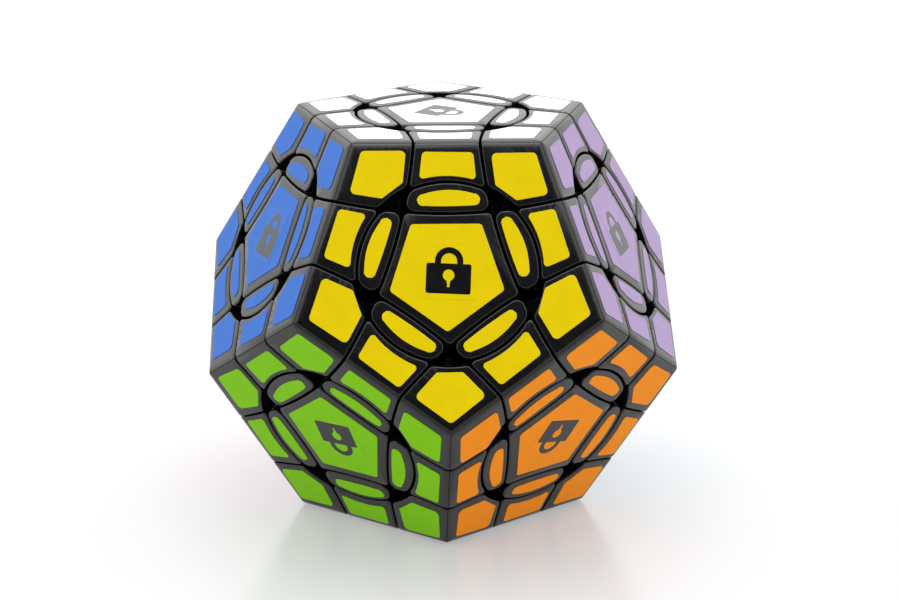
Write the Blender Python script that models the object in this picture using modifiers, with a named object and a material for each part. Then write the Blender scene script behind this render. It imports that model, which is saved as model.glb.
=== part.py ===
"""Dodecahedron twisty puzzle with a turning circle in every face.

Metres, +Z up. The puzzle stands on its grey face, the white face is up and the
yellow face looks along -Y. Everything is built about the puzzle's centre, which
is the origin of every piece, so each piece has its origin on its turning axis.

The cut of each layer is a surface of revolution about that face's own axis, so
a layer clears its neighbours at every angle:
  - outside, a shallow cone that gives the slightly bowed seams on the faces
  - below it a 45 degree cone, the sides of the stems
  - between the core ball and the feet sphere a 50 degree cone, so the foot of
    each corner hooks under the edges and the foot of each edge under the hubs
The inner parts of the mechanism are plainer than a moulded one.
"""
import math

import bmesh
import bpy
from mathutils import Matrix, Vector

MM = 0.001

# ---------------------------------------------------------------- dimensions
EDGE = 36.0 * MM            # edge length of the dodecahedron
GAP = 0.3 * MM              # clearance between neighbouring pieces
EDGE_ROUND = 0.8 * MM       # rounding along the solid's outer edges

CUT_APEX = 15.8 * MM        # where the outer cutting cone meets the face axis
CUT_SLOPE = 0.387           # rise of that cone per unit of radius
STEM_HALF = math.radians(45.0)   # half angle of the cone round the stems
FOOT_HALF = math.radians(50.0)   # half angle of the cone round the feet
BALL_R = 11.6 * MM          # core ball
FEET_IN = 12.2 * MM         # flat underside of each foot, along its piece's own axis
FEET_TOP = 18.1 * MM        # flat top of each foot
FEET_R = 19.7 * MM          # sphere that holds all the feet

CIRCLE_R = 17.1 * MM        # seam of the circle on a face
CORNER_R = 17.8 * MM        # circular cut on the corners, a little wider
CIRCLE_FLOOR = 31.0 * MM    # height of the circle's floor on the face axis
RING_TOP = 32.8 * MM        # top of the ring that joins the petals of a turning circle
SLOT = 0.4 * MM             # seam between a fixed petal and its edge piece
SLOT_DEPTH = 2.0 * MM

ARM_R = 2.5 * MM            # arms of the core
ARM_END = 22.0 * MM
SCREW_R = 1.1 * MM
SCREW_HEAD_R = 3.2 * MM
SCREW_HEAD = (31.2 * MM, 33.0 * MM)
HUB_FLOOR = (22.4 * MM, 24.4 * MM)
HUB_CAVITY_R = 3.8 * MM
HUB_CAVITY_TOP = 36.4 * MM
SPRING_R = 2.5 * MM
SPRING_WIRE = 0.3 * MM
SPRING_Z = (24.95 * MM, 30.6 * MM)
SPRING_TURNS = 4.5

SEGMENTS = 30               # facets of every cutting surface, a multiple of 5

# ---------------------------------------------------------------- geometry
TILT = math.acos(1 / math.sqrt(5))                 # angle between neighbouring axes
R_IN = EDGE * math.sqrt(250 + 110 * math.sqrt(5)) / 20   # centre to face
FAR = 75.0 * MM

UPPER = ["yellow", "purple", "dark_green", "red", "blue"]        # round the white face
LOWER = ["orange", "light_blue", "cream", "pink", "light_green"]  # round the grey face


def axis_at(azimuth_deg, from_top):
    """Unit axis; azimuth 0 is -Y and grows towards +X."""
    a = math.radians(azimuth_deg)
    return Vector(
        (
            math.sin(a) * math.sin(from_top),
            -math.cos(a) * math.sin(from_top),
            math.cos(from_top),
        )
    )


AXES = {"white": Vector((0, 0, 1)), "grey": Vector((0, 0, -1))}
for i, colour in enumerate(UPPER):
    AXES[colour] = axis_at(72 * i, TILT)
for i, colour in enumerate(LOWER):
    AXES[colour] = axis_at(36 + 72 * i, math.pi - TILT)

TURNING = ["yellow", "light_blue", "pink"]  # faces whose layers turn on joints


def beside(a, b):
    """True where two faces share an edge."""
    return a != b and AXES[a].dot(AXES[b]) > 0.4


def neighbours(face):
    """The five faces round a face, in turning order."""
    z = AXES[face]
    ring = [f for f in AXES if beside(face, f)]
    x = (AXES[ring[0]] - z * AXES[ring[0]].dot(z)).normalized()
    y = z.cross(x)
    return sorted(ring, key=lambda f: math.atan2(AXES[f].dot(y), AXES[f].dot(x)) % math.tau)


def frame_of(face, toward):
    """Rotation whose Z is the face's axis and whose X points to a neighbour."""
    z = AXES[face]
    x = (AXES[toward] - z * AXES[toward].dot(z)).normalized()
    y = z.cross(x)
    return Matrix((x, y, z)).transposed()


# ---------------------------------------------------------------- scene
for old in list(bpy.data.objects):
    bpy.data.objects.remove(old, do_unlink=True)

parts = bpy.data.collections.new("dodecahedron_puzzle")
cutters = bpy.data.collections.new("cutters")
for c in (parts, cutters):
    bpy.context.scene.collection.children.link(c)


def plastic(name, colour, roughness, metallic=0.0):
    m = bpy.data.materials.new(name)
    m.use_nodes = True
    b = m.node_tree.nodes["Principled BSDF"]
    b.inputs["Base Color"].default_value = (*colour, 1)
    b.inputs["Roughness"].default_value = roughness
    b.inputs["Metallic"].default_value = metallic
    m.diffuse_color = (*colour, 1)
    return m


BLACK = plastic("black_plastic", (0.016, 0.016, 0.017), 0.32)
CORE = plastic("core_plastic", (0.03, 0.03, 0.032), 0.45)
STEEL = plastic("spring_steel", (0.60, 0.60, 0.62), 0.28, 1.0)


def new_object(name, mesh, collection=cutters):
    ob = bpy.data.objects.new(name, mesh)
    collection.objects.link(ob)
    if collection is cutters:
        ob.hide_render = True
        ob.display_type = "WIRE"
    return ob


def turned(name, profile, rotation=None, steps=SEGMENTS):
    """A solid of revolution. profile: (radius, height) pairs from the top of the axis, down the outer side, to the bottom of the axis; a ring's profile ends where it starts."""
    closed = profile[0] == profile[-1]
    points = profile[:-1] if closed else profile
    lines = [(i, i + 1) for i in range(len(points) - 1)]
    if closed:
        lines.append((len(points) - 1, 0))
    mesh = bpy.data.meshes.new(name)
    # half a facet round, so the planes of symmetry cross the middles of facets
    a = math.pi / steps
    mesh.from_pydata([(r * math.cos(a), r * math.sin(a), z) for r, z in points], lines, [])
    ob = new_object(name, mesh)
    screw = ob.modifiers.new("Screw", "SCREW")
    screw.axis = "Z"
    screw.angle = math.tau
    screw.steps = screw.render_steps = steps
    screw.use_merge_vertices = True
    screw.merge_threshold = 1e-6
    if rotation is not None:
        ob.matrix_world = rotation.to_4x4()
    return ob


def boolean(ob, other, operation):
    m = ob.modifiers.new(f"{operation}_{other.name}"[:60], "BOOLEAN")
    m.object = other
    m.operation = operation
    m.solver = "EXACT"
    return m


def settle(ob, name):
    """The object's shape with its modifiers applied, as a mesh in world space."""
    bpy.context.view_layer.update()
    shape = ob.evaluated_get(bpy.context.evaluated_depsgraph_get())
    mesh = bpy.data.meshes.new_from_object(shape)
    mesh.transform(ob.matrix_world)
    mesh.name = name
    bm = bmesh.new()
    bm.from_mesh(mesh)
    bmesh.ops.remove_doubles(bm, verts=bm.verts, dist=2e-6)
    bmesh.ops.dissolve_limit(bm, angle_limit=math.radians(0.05), verts=bm.verts, edges=bm.edges)
    bmesh.ops.triangulate(bm, faces=bm.faces, ngon_method="EAR_CLIP")
    bm.to_mesh(mesh)
    bm.free()
    mesh.materials.clear()
    return mesh


# ---------------------------------------------------------------- base solids
def dodecahedron():
    """A block cut by the twelve face planes, with its edges rounded."""
    bm = bmesh.new()
    bmesh.ops.create_cube(bm, size=4 * R_IN)
    for axis in AXES.values():
        cut = bmesh.ops.bisect_plane(
            bm,
            geom=bm.verts[:] + bm.edges[:] + bm.faces[:],
            plane_co=axis * R_IN,
            plane_no=axis,
            clear_outer=True,
        )
        rim = [e for e in cut["geom_cut"] if isinstance(e, bmesh.types.BMEdge)]
        bmesh.ops.edgenet_fill(bm, edges=rim)
    bmesh.ops.remove_doubles(bm, verts=bm.verts, dist=1e-5)
    bmesh.ops.bevel(
        bm,
        geom=bm.edges[:],
        offset=EDGE_ROUND,
        segments=1,
        profile=0.5,
        affect="EDGES",
        clamp_overlap=True,
    )
    bmesh.ops.recalc_face_normals(bm, faces=bm.faces)
    mesh = bpy.data.meshes.new("dodecahedron")
    bm.to_mesh(mesh)
    bm.free()
    return mesh


SOLID = dodecahedron()


def ball(name, radius):
    bm = bmesh.new()
    bmesh.ops.create_uvsphere(bm, u_segments=20, v_segments=10, radius=radius)
    mesh = bpy.data.meshes.new(name)
    bm.to_mesh(mesh)
    bm.free()
    return new_object(name, mesh)


# ---------------------------------------------------------------- cut surfaces
def stem_line(grow):
    """z = radius / tan(half) - shift, the 45 degree cone moved out by grow."""
    return grow / math.sin(STEM_HALF)


def layer_profile(grow, stepped):
    """The region above a layer's cut, moved out by grow, from the top of the axis to its foot."""
    lean = math.sqrt(1 + CUT_SLOPE**2)
    outer = lambda r: CUT_APEX + CUT_SLOPE * r - grow * lean
    shift = stem_line(grow)
    # where the outer cone meets the stem cone
    r_join = (CUT_APEX - grow * lean + shift) / (1 / math.tan(STEM_HALF) - CUT_SLOPE)
    z_join = r_join / math.tan(STEM_HALF) - shift
    pts = [(0, FAR), (FAR, FAR), (FAR, outer(FAR)), (r_join, z_join)]
    if stepped:
        # over the feet the cut steps out from the stem cone to the foot cone
        top = FEET_R + GAP
        foot_shift = grow / math.sin(FOOT_HALF)

        def on_cone(half, shift_):
            # point of the line z = r / tan(half) - shift_ at distance top
            t = 1 / math.tan(half)
            a, b, c = 1 + t * t, -2 * t * shift_, shift_**2 - top**2
            r = (-b + math.sqrt(b * b - 4 * a * c)) / (2 * a)
            return r, r * t - shift_

        pts += [on_cone(STEM_HALF, shift), on_cone(FOOT_HALF, foot_shift), (0, -foot_shift)]
    else:
        pts += [(0, -shift)]
    return pts


def layer_in(face, toward):
    return turned(f"layer_{face}", layer_profile(-GAP / 2, False), frame_of(face, toward))


def layer_out(face, toward):
    return turned(f"clear_{face}", layer_profile(GAP / 2, True), frame_of(face, toward))


def foot_cone(face, toward):
    shift = -GAP / 2 / math.sin(FOOT_HALF)
    z = 30 * MM
    return turned(
        f"foot_{face}",
        [(0, z), ((z + shift) * math.tan(FOOT_HALF), z), (0, -shift)],
        frame_of(face, toward),
    )


def pocket(face, toward, radius):
    """The round pocket that a face's circle turns in."""
    low = CIRCLE_FLOOR - GAP / 2
    return turned(
        f"pocket_{face}", [(0, FAR), (radius, FAR), (radius, low), (0, low)], frame_of(face, toward)
    )


def slot(face, toward):
    """The narrow round seam between a petal and its edge piece, a V that is SLOT wide at the surface."""
    above = 1.5
    half = SLOT / 2 * above
    top = R_IN + SLOT_DEPTH * (above - 1)
    v = (CIRCLE_R, R_IN - SLOT_DEPTH)
    return turned(
        f"slot_{face}", [v, (CIRCLE_R - half, top), (CIRCLE_R + half, top), v], frame_of(face, toward)
    )


# ---------------------------------------------------------------- corner piece
# master: the corner between the white, yellow and purple faces
A, B, C = "white", "yellow", "purple"
E = "blue"          # the far end of the white-yellow edge

def frame_along(direction):
    """Rotation whose Z is a direction."""
    return direction.to_track_quat("Z", "Y").to_matrix()


def under(name, direction):
    """A block that clears everything below the undersides of the feet."""
    size = 60 * MM
    bm = bmesh.new()
    bmesh.ops.create_cube(bm, size=size)
    bmesh.ops.translate(bm, verts=bm.verts, vec=(0, 0, FEET_IN - size / 2))
    mesh = bpy.data.meshes.new(name)
    bm.to_mesh(mesh)
    bm.free()
    ob = new_object(name, mesh)
    ob.matrix_world = frame_along(direction).to_4x4()
    return ob


def foot(name, members, direction):
    """A disc along a piece's own axis, cut to the foot cones of the layers that the piece is in."""
    ob = turned(
        name,
        [(0, FEET_TOP), (14 * MM, FEET_TOP), (14 * MM, FEET_IN - 2 * MM), (0, FEET_IN - 2 * MM)],
        frame_along(direction),
        8,
    )
    for f, t in members:
        boolean(ob, foot_cone(f, t), "INTERSECT")
    mesh = settle(ob, name)
    bpy.data.objects.remove(ob)
    return new_object(name, mesh)


corner = new_object("corner_master", SOLID.copy())
for f, t in ((A, B), (B, C), (C, A)):
    boolean(corner, layer_in(f, t), "INTERSECT")
outward = (AXES[A] + AXES[B] + AXES[C]).normalized()
boolean(corner, foot("corner_foot", ((A, B), (B, C), (C, A)), outward), "UNION")
for f, t in ((A, B), (B, C), (C, A)):
    boolean(corner, pocket(f, t, CORNER_R), "DIFFERENCE")
boolean(corner, under("under_corner", outward), "DIFFERENCE")
CORNER_MESH = settle(corner, "corner")

# ---------------------------------------------------------------- edge pieces
# master: the edge between the white and yellow faces; purple and blue are at its ends
ends = [layer_out(C, A), layer_out(E, A)]


def edge_master(name, turning):
    """turning: the faces whose circle is a moving piece; the other petals are part of the edge."""
    ob = new_object(name, SOLID.copy())
    boolean(ob, layer_in(A, B), "INTERSECT")
    boolean(ob, layer_in(B, A), "INTERSECT")
    outward = (AXES[A] + AXES[B]).normalized()
    boolean(ob, foot(name + "_foot", ((A, B), (B, A)), outward), "UNION")
    for cutter in ends:
        boolean(ob, cutter, "DIFFERENCE")
    for f, t in ((A, B), (B, A)):
        boolean(ob, pocket(f, t, CIRCLE_R + GAP / 2) if f in turning else slot(f, t), "DIFFERENCE")
    boolean(ob, under("under_" + name, outward), "DIFFERENCE")
    return settle(ob, name)


EDGE_FIXED = edge_master("edge_fixed", ())
EDGE_OPEN = edge_master("edge_open", (A,))


# ---------------------------------------------------------------- hubs and circles
# master: the white face, with X towards yellow
RING = neighbours(A)


def cap_blank(name, low, radius):
    """The middle of a face down to a height, bounded by its five neighbours' layers."""
    ob = turned(name, [(0, R_IN), (radius, R_IN), (radius, low), (0, low)], frame_of(A, B))
    for f in RING:
        boolean(ob, clear_of[f], "DIFFERENCE")
    return ob


clear_of = {f: layer_out(f, A) for f in RING}
inside_of = {f: layer_in(f, A) for f in RING}


def stem_radius(z):
    """The stems of the hubs stay inside the round cone that all five neighbours leave free."""
    half = TILT - STEM_HALF
    return z * math.tan(half) - GAP / 2 / math.cos(half) - GAP / 2


def stem_profile(low, high, hole=None):
    return [(0, high), (stem_radius(high), high), (stem_radius(low), low), (0, low)]


# a hub of a face that stays put: arm, stem and cap in one, joined to the core
hub = cap_blank("fixed_hub", CIRCLE_FLOOR, 15.6 * MM)
stem = turned(
    "fixed_stem",
    [
        (0, CIRCLE_FLOOR + 1 * MM),
        (stem_radius(CIRCLE_FLOOR), CIRCLE_FLOOR + 1 * MM),
        (stem_radius(CIRCLE_FLOOR), CIRCLE_FLOOR - GAP),
        (stem_radius(FEET_R + GAP), FEET_R + GAP),
        (ARM_R, FEET_R + GAP),
        (ARM_R, BALL_R * 0.8),
        (0, BALL_R * 0.8),
    ],
    frame_of(A, B),
    15,
)
boolean(hub, stem, "UNION")
FIXED_HUB = settle(hub, "fixed_hub")

# an arm with its screw, for a face that turns
screw_arm = turned(
    "screw_arm",
    [
        (0, SCREW_HEAD[1]),
        (SCREW_HEAD_R, SCREW_HEAD[1]),
        (SCREW_HEAD_R, SCREW_HEAD[0]),
        (SCREW_R, SCREW_HEAD[0]),
        (SCREW_R, ARM_END),
        (ARM_R, ARM_END),
        (ARM_R, BALL_R * 0.8),
        (0, BALL_R * 0.8),
    ],
    frame_of(A, B),
    16,
)
SCREW_ARM = settle(screw_arm, "screw_arm")

# the hub of a turning circle: cap and stem, bored for the arm, screw and spring
hub = cap_blank("turning_hub", RING_TOP + GAP, 15.6 * MM)
boolean(
    hub,
    turned(
        "hub_stem",
        [
            (0, RING_TOP + 1 * MM),
            (stem_radius(CIRCLE_FLOOR), RING_TOP + 1 * MM),
            (stem_radius(CIRCLE_FLOOR), CIRCLE_FLOOR),
            (stem_radius(FEET_R + GAP), FEET_R + GAP),
            (0, FEET_R + GAP),
        ],
        frame_of(A, B),
        20,
    ),
    "UNION",
)
boolean(
    hub,
    turned(
        "hub_bore",
        [
            (0, HUB_CAVITY_TOP),
            (HUB_CAVITY_R, HUB_CAVITY_TOP),
            (HUB_CAVITY_R, HUB_FLOOR[1]),
            (SCREW_R + GAP, HUB_FLOOR[1]),
            (SCREW_R + GAP, HUB_FLOOR[0]),
            (ARM_R + GAP, HUB_FLOOR[0]),
            (ARM_R + GAP, FEET_R - 2 * MM),
            (0, FEET_R - 2 * MM),
        ],
        frame_of(A, B),
        16,
    ),
    "DIFFERENCE",
)
TURNING_HUB = settle(hub, "turning_hub")

# the five petals of a turning circle, on the ring that the hub's cap holds down
ring_in = stem_radius(CIRCLE_FLOOR) + GAP + 0.1 * MM
petals = turned(
    "petal_ring",
    [
        (ring_in, CIRCLE_FLOOR + GAP / 2),
        (ring_in, RING_TOP),
        (CIRCLE_R - GAP / 2, RING_TOP),
        (CIRCLE_R - GAP / 2, CIRCLE_FLOOR + GAP / 2),
        (ring_in, CIRCLE_FLOOR + GAP / 2),
    ],
    frame_of(A, B),
)
blank_profile = [
    (0, R_IN),
    (CIRCLE_R - GAP / 2, R_IN),
    (CIRCLE_R - GAP / 2, CIRCLE_FLOOR + 2 * GAP),
    (0, CIRCLE_FLOOR + 2 * GAP),
]
for i, f in enumerate(RING):
    petal = turned(f"petal_{i}", blank_profile, frame_of(A, B))
    boolean(petal, inside_of[f], "INTERSECT")
    boolean(petal, clear_of[RING[i - 1]], "DIFFERENCE")
    boolean(petal, clear_of[RING[(i + 1) % 5]], "DIFFERENCE")
    boolean(petals, petal, "UNION")
PETALS = settle(petals, "petals")

# ---------------------------------------------------------------- core
core = new_object("core_master", ball("core_ball", BALL_R).data.copy())
home = frame_of(A, B)
for face in AXES:
    spindle = new_object(
        f"spindle_{face}", (SCREW_ARM if face in TURNING else FIXED_HUB)
    )
    spindle.matrix_world = (frame_of(face, neighbours(face)[0]) @ home.transposed()).to_4x4()
    boolean(core, spindle, "UNION")
CORE_MESH = settle(core, "core")


# ---------------------------------------------------------------- spring
def spring_mesh():
    """A coil about the white axis with flat first and last turns."""
    curve = bpy.data.curves.new("spring", "CURVE")
    curve.dimensions = "3D"
    curve.bevel_depth = SPRING_WIRE
    curve.bevel_resolution = 0
    curve.use_fill_caps = True
    per_turn = 10
    n = int(SPRING_TURNS * per_turn) + 1
    spline = curve.splines.new("POLY")
    spline.points.add(n - 1)
    low, high = SPRING_Z[0] + SPRING_WIRE * 0.2, SPRING_Z[1] - SPRING_WIRE * 0.2
    for i in range(n):
        u = i / (n - 1)
        # the end turns climb slower than the middle ones
        s = u + 0.10 * math.sin(2 * math.pi * u) * -1
        a = math.tau * i / per_turn
        z = low + SPRING_WIRE + (high - low - 2 * SPRING_WIRE) * s
        spline.points[i].co = (SPRING_R * math.cos(a), SPRING_R * math.sin(a), z, 1)
    ob = new_object("spring_curve", curve)
    bpy.context.view_layer.update()
    shape = ob.evaluated_get(bpy.context.evaluated_depsgraph_get())
    mesh = bpy.data.meshes.new_from_object(shape)
    bm = bmesh.new()
    bm.from_mesh(mesh)
    bmesh.ops.remove_doubles(bm, verts=bm.verts, dist=1e-6)
    bmesh.ops.recalc_face_normals(bm, faces=bm.faces)
    bm.to_mesh(mesh)
    bm.free()
    mesh.name = "spring"
    bpy.data.objects.remove(ob)
    return mesh


SPRING = spring_mesh()

# ---------------------------------------------------------------- assembly
centre = bpy.data.objects.new("puzzle_centre", None)
parts.objects.link(centre)
centre.location = (0, 0, R_IN)


def dress(mesh, material):
    mesh.materials.append(material)
    mesh.shade_smooth()
    mesh.set_sharp_from_angle(angle=math.radians(25))


for mesh in (CORNER_MESH, EDGE_FIXED, EDGE_OPEN, TURNING_HUB, PETALS):
    dress(mesh, BLACK)
dress(CORE_MESH, CORE)
dress(SPRING, STEEL)


def place(name, mesh, rotation):
    ob = new_object(name, mesh, parts)
    ob.parent = centre
    ob.rotation_euler = rotation.to_euler()
    return ob


place("core_with_arms", CORE_MESH, Matrix.Identity(3))

order = list(AXES)
for i, a in enumerate(order):
    for j, b in enumerate(order[i + 1 :], i + 1):
        if not beside(a, b):
            continue
        # edge piece: the master's white side goes to a turning face if there is one
        first, second = (b, a) if b in TURNING else (a, b)
        turn = frame_of(first, second) @ frame_of(A, B).transposed()
        place(f"edge_{a}_{b}", EDGE_OPEN if first in TURNING else EDGE_FIXED, turn)
        for c in order[j + 1 :]:
            if beside(a, c) and beside(b, c):
                # the corner's three sides are alike, so any order of the same hand fits
                p, q, r = (a, b, c)
                if AXES[p].cross(AXES[q]).dot(AXES[r]) * AXES[A].cross(AXES[B]).dot(AXES[C]) < 0:
                    q, r = r, q
                turn = frame_of(p, q) @ frame_of(A, B).transposed()
                place(f"corner_{a}_{b}_{c}", CORNER_MESH, turn)

for face in TURNING:
    turn = frame_of(face, neighbours(face)[0]) @ frame_of(A, B).transposed()
    place(f"hub_{face}", TURNING_HUB, turn)
    place(f"petals_{face}", PETALS, turn)
    spring = place(f"spring_{face}", SPRING, frame_of(face, neighbours(face)[0]))
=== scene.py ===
"""Looks of the dodecahedron twisty puzzle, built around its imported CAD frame.

Every plastic piece is made from a distance function (the same cuts as the CAD,
with rounded lips), meshed, thinned and given normals from that function. Pieces
of one kind share a mesh. Lengths inside the shape code are millimetres from the
puzzle's centre; objects are in metres in the row frame.
"""

import math
import random

import bmesh
import bpy
import numpy as np
from mathutils import Matrix, Vector


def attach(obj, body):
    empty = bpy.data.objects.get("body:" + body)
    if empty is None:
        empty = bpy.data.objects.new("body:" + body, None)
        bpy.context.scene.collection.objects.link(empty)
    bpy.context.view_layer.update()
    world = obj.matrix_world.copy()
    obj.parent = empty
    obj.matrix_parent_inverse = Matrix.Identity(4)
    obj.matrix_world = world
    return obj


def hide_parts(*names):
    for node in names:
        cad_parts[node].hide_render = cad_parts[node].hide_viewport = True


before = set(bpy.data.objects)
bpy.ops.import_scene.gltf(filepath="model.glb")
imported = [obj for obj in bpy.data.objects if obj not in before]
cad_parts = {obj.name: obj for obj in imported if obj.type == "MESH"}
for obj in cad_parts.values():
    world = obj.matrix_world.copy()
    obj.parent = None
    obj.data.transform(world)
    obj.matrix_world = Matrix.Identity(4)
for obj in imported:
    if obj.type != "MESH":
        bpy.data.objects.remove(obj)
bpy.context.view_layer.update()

# ---------------------------------------------------------------- dimensions
EDGE = 36.0
R_IN = EDGE * math.sqrt(250 + 110 * math.sqrt(5)) / 20
TILT = math.acos(1 / math.sqrt(5))
GAP = 0.46              # seam between pieces
LIP = 0.32              # rounding of each piece's lip
ROUND = 0.5             # rounding along the solid's outer edges
BAND, BAND_TILT = 1.25, math.radians(10)   # the margin that falls away along those edges
CUT_APEX, CUT_SLOPE = 15.8, 0.387
STEP_R, FEET_R = 20.0, 19.7
FEET_IN, FEET_TOP = 12.2, 18.1
C50, S50 = math.cos(math.radians(50)), math.sin(math.radians(50))
POCKET_EDGE, POCKET_CORNER, FLOOR = 17.33, 17.9, 30.85
CIRCLE = 16.87          # outside of the petals
PETAL_HALF = 7.72       # half the length of a petal
STICKER = 0.11          # thickness of a sticker

UPPER = ["yellow", "purple", "dark_green", "red", "blue"]
LOWER = ["orange", "light_blue", "cream", "pink", "light_green"]


def axis_at(azimuth_deg, from_top):
    a = math.radians(azimuth_deg)
    return np.array(
        (
            math.sin(a) * math.sin(from_top),
            -math.cos(a) * math.sin(from_top),
            math.cos(from_top),
        )
    )


AXES = {"white": np.array((0.0, 0.0, 1.0)), "grey": np.array((0.0, 0.0, -1.0))}
for i, colour in enumerate(UPPER):
    AXES[colour] = axis_at(72 * i, TILT)
for i, colour in enumerate(LOWER):
    AXES[colour] = axis_at(36 + 72 * i, math.pi - TILT)
TURNING = ["yellow", "light_blue", "pink"]
FACES = list(AXES)


def beside(a, b):
    return a != b and AXES[a] @ AXES[b] > 0.4


def unit(v):
    return v / np.linalg.norm(v)


def frame_of(face, toward):
    """Rotation whose Z is the face's axis and whose X points to a neighbour, as columns."""
    z = AXES[face]
    x = unit(AXES[toward] - z * (AXES[toward] @ z))
    return np.stack((x, np.cross(z, x), z), axis=1)


def neighbours(face):
    ring = [f for f in FACES if beside(face, f)]
    fr = frame_of(face, ring[0])
    return sorted(ring, key=lambda f: math.atan2(AXES[f] @ fr[:, 1], AXES[f] @ fr[:, 0]) % math.tau)


# ---------------------------------------------------------------- distance functions
def rint(values, r):
    """Rounded intersection."""
    top = values[0]
    for v in values[1:]:
        top = np.maximum(top, v)
    total = sum(np.maximum(v + r, 0) ** 2 for v in values)
    return np.minimum(-r, top) + np.sqrt(total)


def runi(a, b, r):
    """Rounded union."""
    return np.maximum(r, np.minimum(a, b)) - np.sqrt(
        np.maximum(r - a, 0) ** 2 + np.maximum(r - b, 0) ** 2
    )


def height_radius(p, face):
    h = p @ AXES[face]
    return h, np.sqrt(np.maximum((p * p).sum(-1) - h * h, 0))


def layer(p, face):
    """Negative inside a face's layer."""
    z, rho = height_radius(p, face)
    lean = math.sqrt(1 + CUT_SLOPE**2)
    return np.minimum((rho - z) / math.sqrt(2), (CUT_APEX + CUT_SLOPE * rho - z) / lean)


def foot_cone(p, face):
    z, rho = height_radius(p, face)
    return rho * C50 - z * S50


def kept_clear(p, face):
    """Positive inside what a layer's own pieces need, with the wider cone over the feet."""
    r = np.sqrt((p * p).sum(-1))
    both = np.minimum(layer(p, face), np.maximum(foot_cone(p, face), r - STEP_R))
    return -both


def pocket_wall(p, face, radius):
    z, rho = height_radius(p, face)
    return np.minimum(radius - rho, z - FLOOR)


REACH = R_IN * math.tan(TILT / 2)    # from a face's centre to its sides


def outer_side(p, face, members):
    """A face's plane, with the margins toward the other members leaning away."""
    n = AXES[face]
    v = p @ n - R_IN
    for other in members:
        if other != face:
            t = unit(AXES[other] - n * (AXES[other] @ n))
            lean = math.cos(BAND_TILT) * n + math.sin(BAND_TILT) * t
            v = np.maximum(v, p @ lean - (n * R_IN + t * (REACH - BAND)) @ lean)
    return v


def outer_piece(p, members, others, radius, plan_round):
    """Corners and edges: inside their faces' layers, outside the others."""
    own = sum(AXES[f] for f in members)
    own = own / np.linalg.norm(own)
    along = p @ own
    r = np.sqrt((p * p).sum(-1))
    outer = rint([outer_side(p, f, members) for f in members], ROUND)
    inside = [layer(p, f) + GAP / 2 for f in members]
    clear = [kept_clear(p, f) + GAP / 2 for f in others]
    stem = rint(inside + clear, plan_round)
    foot = rint(
        [along - FEET_TOP, r - FEET_R]
        + [foot_cone(p, f) + GAP / 2 for f in members]
        + clear,
        0.35,
    )
    body = runi(stem, foot, 0.3)
    body = rint([body] + [pocket_wall(p, f, radius) for f in members], plan_round)
    body = rint([outer, body], LIP)
    return rint([body, FEET_IN - along], 0.25)


def corner_shape(p):
    return outer_piece(p, ("white", "yellow", "purple"), (), POCKET_CORNER, 0.45)


def edge_shape(p):
    return outer_piece(p, ("white", "yellow"), ("purple", "blue"), POCKET_EDGE, 1.1)


RING = neighbours("white")
HALF = TILT - math.radians(45)


def hub_shape(p):
    z, rho = height_radius(p, "white")
    walls = rint([-layer(p, f) + GAP / 2 for f in RING], 0.75)
    cap = rint([rint([z - R_IN, walls], LIP), 31.0 - z], 0.3)
    cone = (rho - z * math.tan(HALF) + 0.36) * math.cos(HALF)
    stem = rint([cone, z - 32.0, 22.4 - z], 0.3)
    body = runi(cap, stem, 0.4)
    body = rint([body, -np.maximum(rho - 3.8, np.maximum(24.4 - z, z - 36.4))], 0.2)
    return rint([body, -np.maximum(rho - 1.5, z - 25.0)], 0.15)


PETAL_SIDE = frame_of("white", "yellow")[:, 1]


def petal_shape(p):
    z, rho = height_radius(p, "white")
    walls = rint(
        [
            layer(p, "yellow") + GAP / 2,
            rho - CIRCLE,
            np.abs(p @ PETAL_SIDE) - PETAL_HALF,
        ],
        1.55,
    )
    walls = np.maximum(walls, np.maximum(-layer(p, "purple"), -layer(p, "blue")) + GAP / 2)
    return rint([rint([z - R_IN, walls], LIP), 31.0 - z], 0.3)


def core_shape(p):
    r = np.sqrt((p * p).sum(-1))
    body = r - 11.6
    for f in FACES:
        z, rho = height_radius(p, f)
        arm = rint([rho - 2.5 - np.maximum(0, 15 - z) * 0.08, z - 22.0, -z], 0.3)
        body = runi(body, arm, 0.9)
    for f in FACES:
        z, rho = height_radius(p, f)
        body = rint([body, -np.maximum(rho - 0.95, 14.5 - z)], 0.15)
    return body


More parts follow.
